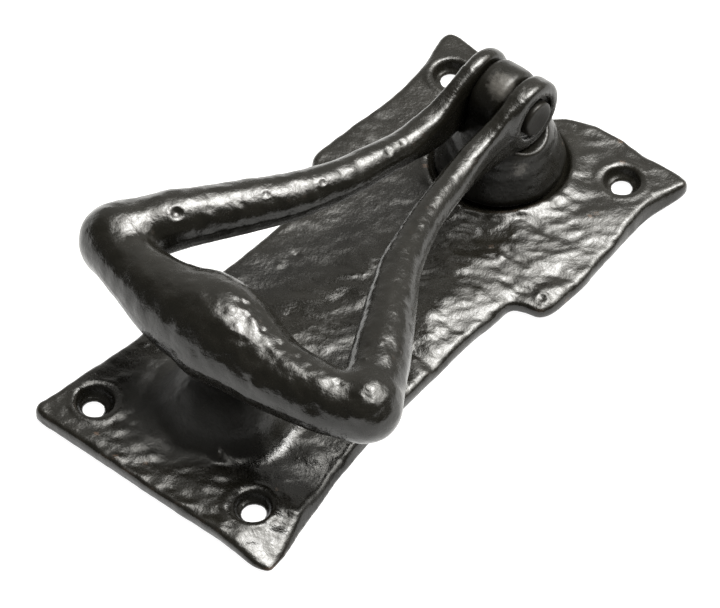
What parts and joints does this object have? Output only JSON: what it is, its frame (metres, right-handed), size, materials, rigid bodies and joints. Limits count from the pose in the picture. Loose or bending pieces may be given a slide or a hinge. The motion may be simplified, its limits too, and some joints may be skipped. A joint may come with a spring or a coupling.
{
  "type": "door knocker",
  "caption": "Black cast-iron door knocker with a waisted hammered back plate and a stirrup-shaped knocker on a pivot post, lying on its back.",
  "frame": {"origin": "centre of the flat back face of the plate", "axes": "+Z out of the door (towards the person knocking), +Y up the door towards the pivot post, +X to the right seen from the front"},
  "size_m": [0.0941, 0.156, 0.0428],
  "materials": {
    "plate_iron": "black semi-gloss powder coat over a hammered casting",
    "post_iron": "black semi-gloss powder coat, smooth casting",
    "ring_iron": "black semi-gloss powder coat over a pebbled casting",
    "pin_steel": "black paint, flat end face"
  },
  "bodies": {
    "plate": {"back_plate": "plate_iron", "pivot_post": "post_iron", "pivot_pin": "pin_steel"},
    "knocker": {"knocker_ring": "ring_iron"}
  },
  "joints": [
    {"name": "knocker_lift", "type": "hinge", "parent": "plate", "child": "knocker", "pos_m": [0, 0.053, 0.0265], "axis": [-1, 0, 0], "range_deg": [0, 170]}
  ]
}
